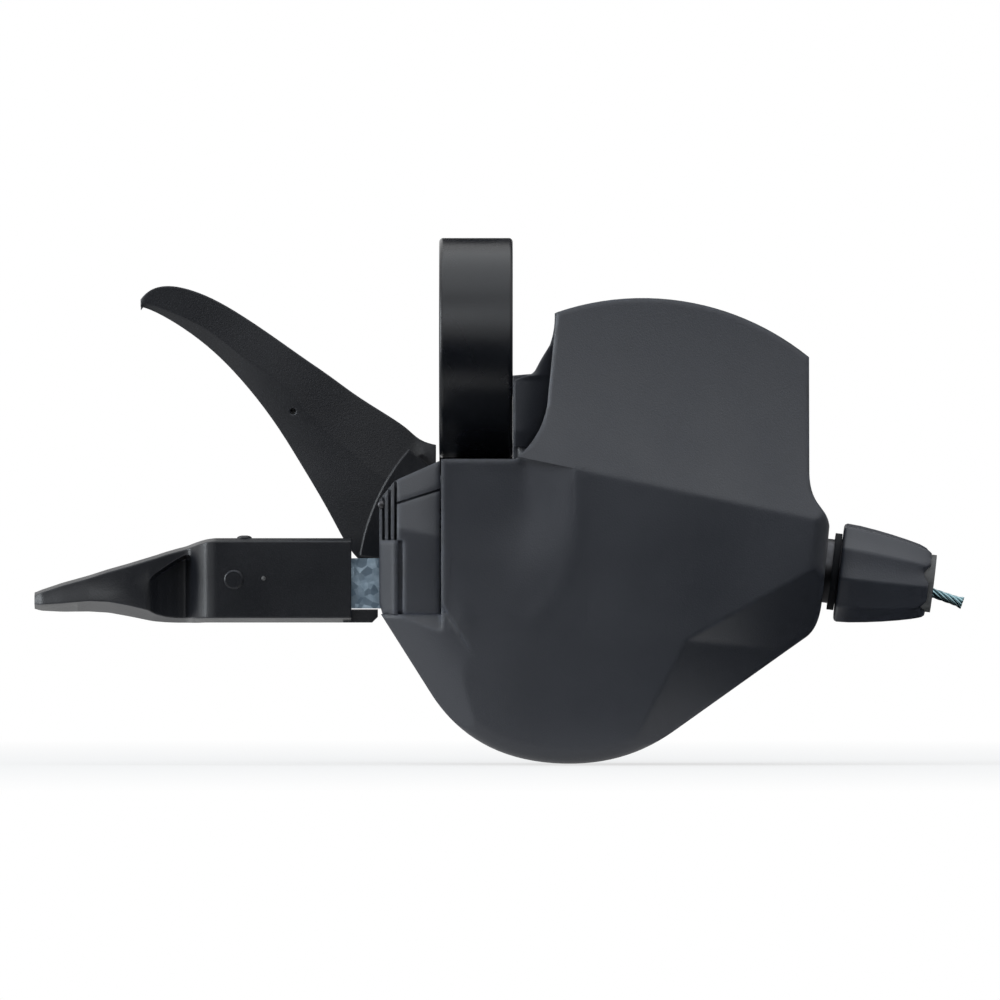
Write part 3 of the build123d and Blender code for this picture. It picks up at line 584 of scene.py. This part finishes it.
def moulded_plastic(
    name, dark, light, worn_and_highlit, rough, gloss, grain=PLASTIC_GRAIN, depth=PLASTIC_GRAIN_DEPTH, soft=EDGE_SOFTNESS
):
    """Grained plastic whose tone drifts a little, with soft edges lightened partly by wear and partly as a
    painted highlight.
    """
    material, tree, shader = new_material(name)
    texture = place_group(tree, grain_group, Grain_Scale=grain)
    edge = place_group(tree, edge_group, Width=soft)
    drift = texture.outputs["Drift"]
    body = blend_colours(tree, drift, dark, light)
    # The edges blend toward the lighter edge tone: part wear, part painted highlight.
    highlit_rubbed = blend_colours(tree, edge.outputs["Edge"], body, worn_and_highlit)
    link(tree, highlit_rubbed, shader.inputs["Base Color"])
    vary_roughness(tree, shader, drift, rough - PLASTIC_ROUGH_SWING, rough + PLASTIC_ROUGH_SWING)
    shader.inputs["Specular IOR Level"].default_value = gloss
    raise_surface(tree, shader, texture.outputs["Height"], depth, edge.outputs["Soft Normal"])
    return material


def plain_metal(name, colour, other, rough):
    """Bare metal with a fine grain."""
    material, tree, shader = new_material(name)
    texture = place_group(tree, grain_group, Grain_Scale=METAL_GRAIN, Drift_Scale=METAL_DRIFT)
    height = texture.outputs["Height"]
    body = blend_colours(tree, texture.outputs["Drift"], colour, other)
    link(tree, body, shader.inputs["Base Color"])
    shader.inputs["Metallic"].default_value = 1.0
    vary_roughness(tree, shader, height, rough - METAL_ROUGH_SWING, rough + METAL_ROUGH_SWING)
    raise_surface(tree, shader, height, METAL_GRAIN_DEPTH)
    return material


def mottled_zinc():
    """Plated sheet with the crystal flakes of the plating."""
    material, tree, shader = new_material("zinc_steel")
    texture = place_group(tree, grain_group, Grain_Scale=ZINC_GRAIN, Drift_Scale=ZINC_DRIFT)
    flakes = tree.nodes.new("ShaderNodeTexVoronoi")
    flakes.inputs["Scale"].default_value = ZINC_FLAKES
    link(tree, object_place(tree), flakes.inputs["Vector"])
    split = tree.nodes.new("ShaderNodeSeparateColor")
    link(tree, flakes.outputs["Color"], split.inputs["Color"])
    flake = split.outputs["Red"]
    patch = maths(tree, "MULTIPLY", flake, spread(tree, texture.outputs["Drift"], *ZINC_FLAKE_SHARE))
    link(tree, blend_colours(tree, patch, ZINC_DARK, ZINC_LIGHT), shader.inputs["Base Color"])
    shader.inputs["Metallic"].default_value = 1.0
    vary_roughness(tree, shader, flake, ZINC_ROUGH - ZINC_ROUGH_SWING, ZINC_ROUGH + ZINC_ROUGH_SWING)
    raise_surface(tree, shader, texture.outputs["Height"], ZINC_GRAIN_DEPTH)
    return material


def clear_window():
    """The display's clear lens."""
    material, tree, shader = new_material("clear_window")
    drift = place_group(tree, grain_group, Grain_Scale=WINDOW_GRAIN).outputs["Drift"]
    shader.inputs["Alpha"].default_value = WINDOW_ALPHA
    shader.inputs["IOR"].default_value = WINDOW_IOR
    vary_roughness(tree, shader, drift, *WINDOW_ROUGH)
    link(tree, blend_colours(tree, drift, *WINDOW_TINTS), shader.inputs["Base Color"])
    return material


def cool(level):
    """A cool grey from its linear level."""
    return tuple(level * cast for cast in COOL_CAST) + (1,)


def neutral(level):
    return (level, level, level, 1)


# Plastics by slot: darkest and lightest tone, the lighter edge tone of wear and painted edge highlight,
# roughness and gloss.
PLASTICS = {
    "housing_plastic": (cool(0.018), cool(0.024), cool(0.06), 0.48, 0.65),
    "lever_plastic": (cool(0.006), cool(0.009), cool(0.03), 0.36, 0.42),
    "band_black": (cool(0.006), cool(0.008), cool(0.02), 0.3, 0.38, BAND_GRAIN, BAND_GRAIN_DEPTH),
    "dial_white": (neutral(0.75), neutral(0.8), neutral(0.85), 0.5, 0.4),
    "needle_orange": ((0.8, 0.16, 0.01, 1), (0.9, 0.22, 0.02, 1), (0.95, 0.3, 0.05, 1), 0.35, 0.5),
    "drum_plastic": (neutral(0.3), neutral(0.34), neutral(0.4), 0.45, 0.4),
    "bush_plastic": (neutral(0.55), neutral(0.6), neutral(0.65), 0.45, 0.4),
    "barrel_plastic": (cool(0.026), cool(0.034), cool(0.06), 0.5, 0.6),
    "seat_plastic": (neutral(0.08), neutral(0.1), neutral(0.14), 0.5, 0.4),
    "ring_rubber": (cool(0.006), cool(0.009), cool(0.015), 0.7, 0.2),
}

# Metals by slot: two tones that drift into each other, and roughness.
METALS = {
    "fastener_steel": ((0.16, 0.17, 0.19, 1), (0.22, 0.23, 0.25, 1), 0.35),
    "spring_steel": ((0.45, 0.45, 0.46, 1), (0.55, 0.55, 0.56, 1), 0.25),
    "cable_steel": ((0.16, 0.26, 0.29, 1), (0.34, 0.5, 0.54, 1), 0.35),
    "nipple_metal": (neutral(0.5), neutral(0.6), 0.4),
    "adjuster_metal": ((0.05, 0.05, 0.055, 1), (0.08, 0.08, 0.085, 1), 0.4),
}


def finishes():
    """The finish of every slot, and the case's plastic with softer and with crisp edges."""
    finish = {slot: moulded_plastic(slot, *values) for slot, values in PLASTICS.items()}
    finish.update({slot: plain_metal(slot, *values) for slot, values in METALS.items()})
    finish["zinc_steel"] = mottled_zinc()
    finish["clear_lens"] = clear_window()
    case = PLASTICS["housing_plastic"]
    finish["cover_plastic"] = moulded_plastic("cover_plastic", *case, soft=COVER_SOFTNESS)
    finish["crisp_plastic"] = moulded_plastic("crisp_plastic", *case, soft=0.0)
    return finish


def dress_nodes(finish):
    for part in frame["record"]["subparts"]:
        piece = nodes[part["node"]]
        piece.data.materials.clear()
        piece.data.materials.append(finish[part["material_slot"]])
    for node in ("front_cover", "rear_case", "side_guard"):
        nodes[node].data.materials[0] = finish["cover_plastic"]


def add_piece(name, mesh, finish, slot, body):
    """A new piece with the finish of a slot, riding on a body."""
    piece = bpy.data.objects.new(name, mesh)
    piece.data.materials.clear()
    piece.data.materials.append(finish[slot])
    bpy.context.scene.collection.objects.link(piece)
    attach(piece, body)
    return piece


def flat_mesh(name, places, faces):
    mesh = bpy.data.meshes.new(name)
    mesh.from_pydata(places, [], faces)
    mesh.update()
    return mesh


def smooth_mesh(name, places, faces):
    mesh = flat_mesh(name, places, faces)
    mesh.shade_smooth()
    return mesh


def tube_faces(rings, sides, clockwise=False, looped=False):
    """Faces of a tube of rings with closed ends, or one whose last ring meets its first.

    The rings turn anticlockwise about the way the tube runs, unless they are clockwise.
    """
    faces = []
    for ring in range(rings if looped else rings - 1):
        here = ring * sides
        following = (ring + 1) % rings * sides
        for side in range(sides):
            other = (side + 1) % sides
            faces.append((here + side, here + other, following + other, following + side))
    if not looped:
        faces.append(tuple(reversed(range(sides))))
        faces.append(tuple(range((rings - 1) * sides, rings * sides)))
    if clockwise:
        faces = [face[:1] + face[:0:-1] for face in faces]
    return faces


def joined(shapes):
    """The places and faces of several shapes, as one."""
    places, faces = [], []
    for some_places, some_faces in shapes:
        start = len(places)
        places += some_places
        faces += [tuple(start + corner for corner in face) for face in some_faces]
    return places, faces


def spun_mesh(name, profile, place, facing, sides):
    """A small turned form, spun about the way it faces."""
    turn = facing.to_track_quat("Z", "Y").to_matrix()
    places = []
    for radius, height in profile:
        for side in range(sides):
            angle = 2 * math.pi * side / sides
            rim = Vector((radius * math.cos(angle), radius * math.sin(angle), height)) * MM
            places.append(place + turn @ rim)
    return smooth_mesh(name, places, tube_faces(len(profile), sides))


def front_of(node, x, z):
    """The place and facing on a node straight behind a point of the photograph."""
    found, place, facing, _ = nodes[node].ray_cast((x, SIGHT_START, z), SIGHT)
    if not found:
        raise ValueError(node + " has no surface there")
    return place, facing


def housing_depth(x, z):
    """How far back the housing's first surface lies behind a point of the photograph."""
    depths = []
    for node in ("front_cover", "display_base", "rear_case"):
        found, place, _, _ = nodes[node].ray_cast((x, SIGHT_START, z), SIGHT)
        if found:
            depths.append(place.y)
    return min(depths)


def shifted(depths, reach, axis):
    """Copies of a grid, moved along one axis by each step within reach."""
    margins = [(0, 0), (0, 0)]
    margins[axis] = (reach, reach)
    wide = numpy.pad(depths, margins, mode="edge")
    count = depths.shape[axis]
    return [wide.take(range(step, step + count), axis) for step in range(2 * reach + 1)]


def smoothed(depths, reach, axes=(0, 1)):
    """A grid averaged over a round-shouldered reach, along its rows, its columns or both."""
    steps = numpy.arange(-reach, reach + 1)
    weights = 1 + numpy.cos(math.pi * steps / (reach + 1))
    weights = weights / weights.sum()
    for axis in axes:
        depths = sum(weight * moved for weight, moved in zip(weights, shifted(depths, reach, axis)))
    return depths


def nearest(depths, reach):
    """A grid of depths with each place brought forward to the nearest one within reach."""
    for axis in (0, 1):
        depths = numpy.minimum.reduce(shifted(depths, reach, axis))
    return depths


def eased(share):
    share = numpy.clip(share, 0, 1)
    return share * share * (3 - 2 * share)


def plane_through(x, z, depths):
    """The plane that fits a set of places best: its leans along X and Z, and its base."""
    terms = numpy.stack([x, z, numpy.ones(len(x))], 1)
    return numpy.linalg.lstsq(terms, depths, rcond=None)[0]


def softened_groove(cover, x_grid, z_grid):
    """Depths of the cover with the groove's shoulders rounded and its lower end run out to the main face."""
    soft = smoothed(cover, SOFT_REACH)
    lost = -nearest(numpy.minimum(cover - soft, 0), SOFT_REACH)
    soft = soft - smoothed(lost, SOFT_REACH)
    main_face = (z_grid < MAIN_FACE_LOW) | (x_grid > MAIN_FACE_LEFT) & (z_grid < MAIN_FACE_TOP)
    lean_x, lean_z, base = plane_through(x_grid[main_face], z_grid[main_face], cover[main_face])
    level = lean_x * x_grid + lean_z * z_grid + base
    fill = eased((FILL_TOP - z_grid) / FILL_RUN) * eased((x_grid - FILL_LEFT) / FILL_WIDE)
    soft = soft + fill * numpy.minimum(level - soft, 0)
    return smoothed(soft, SOFT_REACH) - GROOVE_PROUD


def sheet_mesh(name, across, up, face, back):
    """A thin sheet over a grid, closed behind and round its rim."""
    rows, columns = face.shape
    places = []
    for depths in (face, back):
        for row in range(rows):
            for column in range(columns):
                places.append((across[column], depths[row, column], up[row]))
    faces = []
    behind = rows * columns
    for row in range(rows - 1):
        for column in range(columns - 1):
            here = row * columns + column
            quad = (here, here + 1, here + columns + 1, here + columns)
            faces.append(quad)
            faces.append(tuple(behind + corner for corner in reversed(quad)))
    rim = list(range(columns))
    rim += [row * columns + columns - 1 for row in range(1, rows)]
    rim += [(rows - 1) * columns + column for column in range(columns - 2, -1, -1)]
    rim += [row * columns for row in range(rows - 2, 0, -1)]
    for first, second in zip(rim, rim[1:] + rim[:1]):
        faces.append((second, first, behind + first, behind + second))
    return smooth_mesh(name, places, faces)


def soften_cover(finish):
    """A thin face over the cover's finger groove that softens it and fades into the cover at its rim."""
    across = numpy.arange(GROOVE_LEFT, GROOVE_RIGHT, GROOVE_PITCH)
    up = numpy.arange(GROOVE_LOW, GROOVE_HIGH, GROOVE_PITCH)
    cover = numpy.array([[front_of("front_cover", x, z)[0].y for x in across] for z in up])
    x_grid, z_grid = numpy.meshgrid(across, up)
    soft = softened_groove(cover, x_grid, z_grid)
    sides = [x_grid - GROOVE_LEFT, GROOVE_RIGHT - x_grid, z_grid - GROOVE_LOW, GROOVE_HIGH - z_grid]
    blend = eased(numpy.minimum.reduce(sides) / GROOVE_MARGIN)
    face = cover + GROOVE_RIM_SUNK * (1 - blend) + blend * (soft - cover)
    mesh = sheet_mesh("groove_face", across, up, face, cover + GROOVE_THICK)
    add_piece("groove_face", mesh, finish, "housing_plastic", "housing")


def carry_on_crease(finish):
    """The panel's lower edge, carried on over the groove's top as far as the clamp."""
    spots = numpy.array([front_of("front_cover", x * MM, z * MM)[0] for x, z in PANEL_SPOTS])
    lean_x, lean_z, base = plane_through(spots[:, 0], spots[:, 2], spots[:, 1])
    outline = [(x * MM, z * MM) for x, z in CREASE_OUTLINE]
    front = [(x, lean_x * x + lean_z * z + base - CREASE_PROUD, z) for x, z in outline]
    back = [(x, CREASE_BACK, z) for x, z in outline]
    mesh = flat_mesh("crease_end", front + back, tube_faces(2, len(outline), clockwise=True))
    piece = add_piece("crease_end", mesh, finish, "housing_plastic", "housing")
    piece.data.materials[0] = finish["crisp_plastic"]


def trigger_section(low_y, high_y, bottom, strip, middle, top, back_y, back_top, back_bottom):
    """The closed outline of the trigger across its length, as depth and height pairs."""
    hollow = NECK_HOLLOW * min(1, (low_y - ARM_FRONT) / NECK_HOLLOW_RUN)
    return [
        (low_y + STRIP_LEAN * strip, bottom),
        (low_y, bottom + strip),
        (low_y + hollow, middle - MIDDLE_HALF),
        (high_y, middle + MIDDLE_HALF),
        (high_y, top - TOP_EDGE_DROP),
        (high_y + TOP_EDGE_DEEP, top),
        (back_y, back_top),
        (back_y, back_bottom),
    ]


def trigger_moulding():
    """The trigger's arm, rounded bend, hollow neck, and pad with a rolled underside."""
    table = numpy.array(TRIGGER_ROWS)[::-1]
    tip, root = table[0, 0], table[-1, 0]
    steps = numpy.arange(tip, root, TRIGGER_STEP).tolist() + [root]
    columns = [numpy.interp(steps, table[:, 0], values) for values in table[:, 1:].T]
    rows = smoothed(numpy.array(columns).T, TRIGGER_SOFT_REACH, (0,))
    sections = [trigger_section(*row) for row in rows]
    places = [MM * Vector((x, y, z)) for x, section in zip(steps, sections) for y, z in section]
    return places, tube_faces(len(steps), len(sections[0]), clockwise=True)


def trigger_lip():
    places = [MM * Vector((x, y, z)) for y in (LIP_FRONT, LIP_BACK) for x, z in LIP_OUTLINE]
    return places, tube_faces(2, len(LIP_OUTLINE), clockwise=True)


def shape_trigger(finish):
    """The trigger's moulded grip, and the nub on top of its arm."""
    mesh = smooth_mesh("trigger_grip", *joined([trigger_moulding(), trigger_lip()]))
    mesh.set_sharp_from_angle(angle=SHARP_ANGLE)
    grip = add_piece("trigger_grip", mesh, finish, "lever_plastic", "release_lever")
    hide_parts("release_lever_grip")
    nub = spun_mesh("trigger_nub", NUB_PROFILE, NUB_PLACE, UPWARD, NUB_SIDES)
    add_piece("trigger_nub", nub, finish, "lever_plastic", "release_lever")


def round_leg(finish):
    """The leg's front, rounded so that it turns away behind the pod's edge."""
    table = numpy.array(LEG_ROWS)[::-1] * MM
    heights = numpy.linspace(table[-1, 0], table[0, 0], LEG_STEPS)
    shares = numpy.linspace(0, 1, LEG_POINTS)
    places = []
    for z in heights:
        left = numpy.interp(z, table[:, 0], table[:, 1])
        edge = numpy.interp(z, table[:, 0], table[:, 2])
        right = edge + LEG_TUCK
        width = right - left
        flat = housing_depth(left + LEG_PROBE * (edge - left), z)
        rise = min(LEG_RISE, LEG_RISE_SHARE * width)
        for share in shares:
            places.append((left + width * share, flat + LEG_SUNK - rise * (1 - share**2), z))
        places.append((right, flat + LEG_BACK, z))
        places.append((left, flat + LEG_BACK, z))
    mesh = smooth_mesh("rounded_leg", places, tube_faces(LEG_STEPS, LEG_POINTS + 2, clockwise=True))
    mesh.set_sharp_from_angle(angle=SHARP_ANGLE)
    add_piece("rounded_leg", mesh, finish, "housing_plastic", "housing")


def barrel_reach(distance, angle):
    """How far along the barrel a point lies once the scallops are cut from its end."""
    depth = SCALLOP_DEPTH * max(0.0, min(1.0, (distance - SCALLOP_START) / SCALLOP_RUN))
    return distance - depth * max(0.0, math.cos(SCALLOPS * angle))


def barrel_radius(radius, angle):
    """The radius of the barrel once its facets are cut, each a little hollow."""
    if radius < BARREL_ROUND_BELOW:
        return radius
    share = (math.degrees(angle) - FIRST_FACET_ANGLE) / FACET_ANGLE % 1.0
    flatten = math.cos(math.pi / FACETS) / math.cos((share - 0.5) * 2 * math.pi / FACETS)
    return radius * flatten - FACET_HOLLOW * math.sin(math.pi * share)


def turn_barrel(finish):
    """The adjusting barrel with ten shallow lengthwise facets and a scalloped end."""
    along = Vector((math.cos(BARREL_TILT), 0, -math.sin(BARREL_TILT)))
    outward = Vector((math.sin(BARREL_TILT), 0, math.cos(BARREL_TILT)))
    places = []
    for distance, radius in BARREL_ROWS:
        for side in range(BARREL_SIDES):
            angle = 2 * math.pi * side / BARREL_SIDES
            radial = math.cos(angle) * outward + math.sin(angle) * TOWARD_EYE
            run = barrel_reach(distance, angle) * along
            places.append(BARREL_START + MM * (run + barrel_radius(radius, angle) * radial))
    faces = tube_faces(len(BARREL_ROWS), BARREL_SIDES, looped=True)
    mesh = smooth_mesh("faceted_barrel", places, faces)
    barrel = add_piece("faceted_barrel", mesh, finish, "barrel_plastic", "adjuster")
    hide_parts("adjuster_barrel")


def cable_line(distance, wrapped):
    """The cable's middle at a distance from its drum end, the way it runs and the way out from the drum."""
    angle = CABLE_LEAVE_ANGLE + CABLE_WRAP * max(0, 1 - distance / wrapped)
    outward = Vector((math.cos(angle), 0, math.sin(angle)))
    along = Vector((math.sin(angle), 0, -math.cos(angle)))
    middle = AXLE + CABLE_PITCH_RADIUS * outward + max(0, distance - wrapped) * along
    return Vector((middle.x, CABLE_DEPTH, middle.z)), along, outward


def strand(number, length, wrapped):
    """One wire of the cable, laid round the core, its end a little loose. The last one is the core."""
    core = number == STRANDS
    offset = 0 if core else 2 * STRAND_RADIUS
    splay = 0 if core else LEAST_SPLAY + SPLAY_STEP * (number % SPLAY_KINDS)
    places = []
    for step in range(STRAND_STEPS + 1):
        distance = length * step / STRAND_STEPS
        middle, along, outward = cable_line(distance, wrapped)
        across = along.cross(outward)
        twist = 2 * math.pi * (number / STRANDS + distance / STRAND_LAY)
        opening = max(0, distance - length + LOOSE_END) / LOOSE_END
        away = offset + splay * opening**2
        centre = middle + away * (math.cos(twist) * outward + math.sin(twist) * across)
        for side in range(STRAND_SIDES):
            angle = 2 * math.pi * side / STRAND_SIDES
            places.append(centre + STRAND_RADIUS * (math.cos(angle) * outward + math.sin(angle) * across))
    return places, tube_faces(STRAND_STEPS + 1, STRAND_SIDES)


def lay_cable(finish):
    """The shift cable as a twisted rope of wires."""
    leave = AXLE.x + CABLE_PITCH_RADIUS * math.cos(CABLE_LEAVE_ANGLE)
    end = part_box("shift_cable")[1].x - CABLE_END_GAP
    wrapped = CABLE_PITCH_RADIUS * CABLE_WRAP
    length = wrapped + (end - leave) / math.sin(CABLE_LEAVE_ANGLE)
    strands = [strand(number, length, wrapped) for number in range(STRANDS + 1)]
    mesh = smooth_mesh("stranded_cable", *joined(strands))
    rope = add_piece("stranded_cable", mesh, finish, "cable_steel", "housing")
    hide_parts("shift_cable")


def dial_place(angle, depth, lift):
    """A point on the dial's curved face, and the way the face looks there."""
    turn = math.radians(angle)
    outward = Vector((math.cos(turn), 0, math.sin(turn)))
    return DIAL_CENTRE + (DIAL_RADIUS + lift) * outward + Vector((0, depth, 0)), outward


def number_mesh(gear, angle):
    """A gear's number, laid on the dial to be read from behind."""
    words = bpy.data.curves.new("gear_number", "FONT")
    words.body = str(gear)
    words.size = NUMBER_SIZE
    words.extrude = INK_THICK
    words.align_x = "CENTER"
    words.align_y = "CENTER"
    stencil = bpy.data.objects.new("gear_number", words)
    mesh = bpy.data.meshes.new_from_object(stencil)
    bpy.data.objects.remove(stencil)
    place, outward = dial_place(angle, NUMBER_DEPTH, NUMBER_LIFT)
    sideways = TOWARD_EYE.cross(outward)
    for corner in mesh.vertices:
        x, y, z = corner.co
        corner.co = place + x * sideways + y * TOWARD_EYE + z * outward
    return mesh


def mark_mesh(angle):
    """The short division line beside a gear's number."""
    start, outward = dial_place(angle, MARK_INSET - DIAL_HALF_WIDTH, 0)
    side = MARK_HALF_WIDTH * TOWARD_EYE.cross(outward)
    back = Vector((0, MARK_LENGTH, 0))
    foot = [start - side, start + side, start + side + back, start - side + back]
    places = foot + [corner + INK_THICK * outward for corner in foot]
    return flat_mesh("gear_mark", places, tube_faces(2, len(foot), clockwise=True))


def print_dial(finish):
    """Gear numbers and division lines printed on the dial strip, the top gear first."""
    for count in range(GEARS):
        gear = GEARS - count
        angle = TOP_GEAR_ANGLE + GEAR_STEP_ANGLE * count
        add_piece("gear_number_%02d" % gear, number_mesh(gear, angle), finish, "lever_plastic", "housing")
        add_piece("gear_mark_%02d" % gear, mark_mesh(angle), finish, "lever_plastic", "housing")


def mark_mouldings(finish):
    """Small marks that the moulds leave, and the pin head at the guard. The gate nib is painted a lighter
    grey as a painted glint.
    """
    place, facing = front_of("release_lever_grip", *RING_SPOT)
    ring = spun_mesh("ejector_ring", RING_PROFILE, place, facing, RING_SIDES)
    add_piece("ejector_ring", ring, finish, "lever_plastic", "release_lever")
    place, _ = front_of("side_guard", *HEAD_SPOT)
    head = spun_mesh("guard_pin_head", HEAD_PROFILE, place, TOWARD_EYE, HEAD_SIDES)
    add_piece("guard_pin_head", head, finish, "adjuster_metal", "housing")
    place, facing = front_of("release_lever_grip", *NIB_SPOT)
    nib = spun_mesh("gate_nib", NIB_PROFILE, place, facing, NIB_SIDES)
    # Gate nib in lighter grey than the lever: a painted glint on the gate mark.
    add_piece("gate_nib", nib, finish, "seat_plastic", "release_lever")


bpy.context.scene.view_settings.view_transform = "Standard"
add_camera()
build_studio()
finish_by_slot = finishes()
dress_nodes(finish_by_slot)
lay_cable(finish_by_slot)
print_dial(finish_by_slot)
mark_mouldings(finish_by_slot)
soften_cover(finish_by_slot)
carry_on_crease(finish_by_slot)
turn_barrel(finish_by_slot)
shape_trigger(finish_by_slot)
round_leg(finish_by_slot)
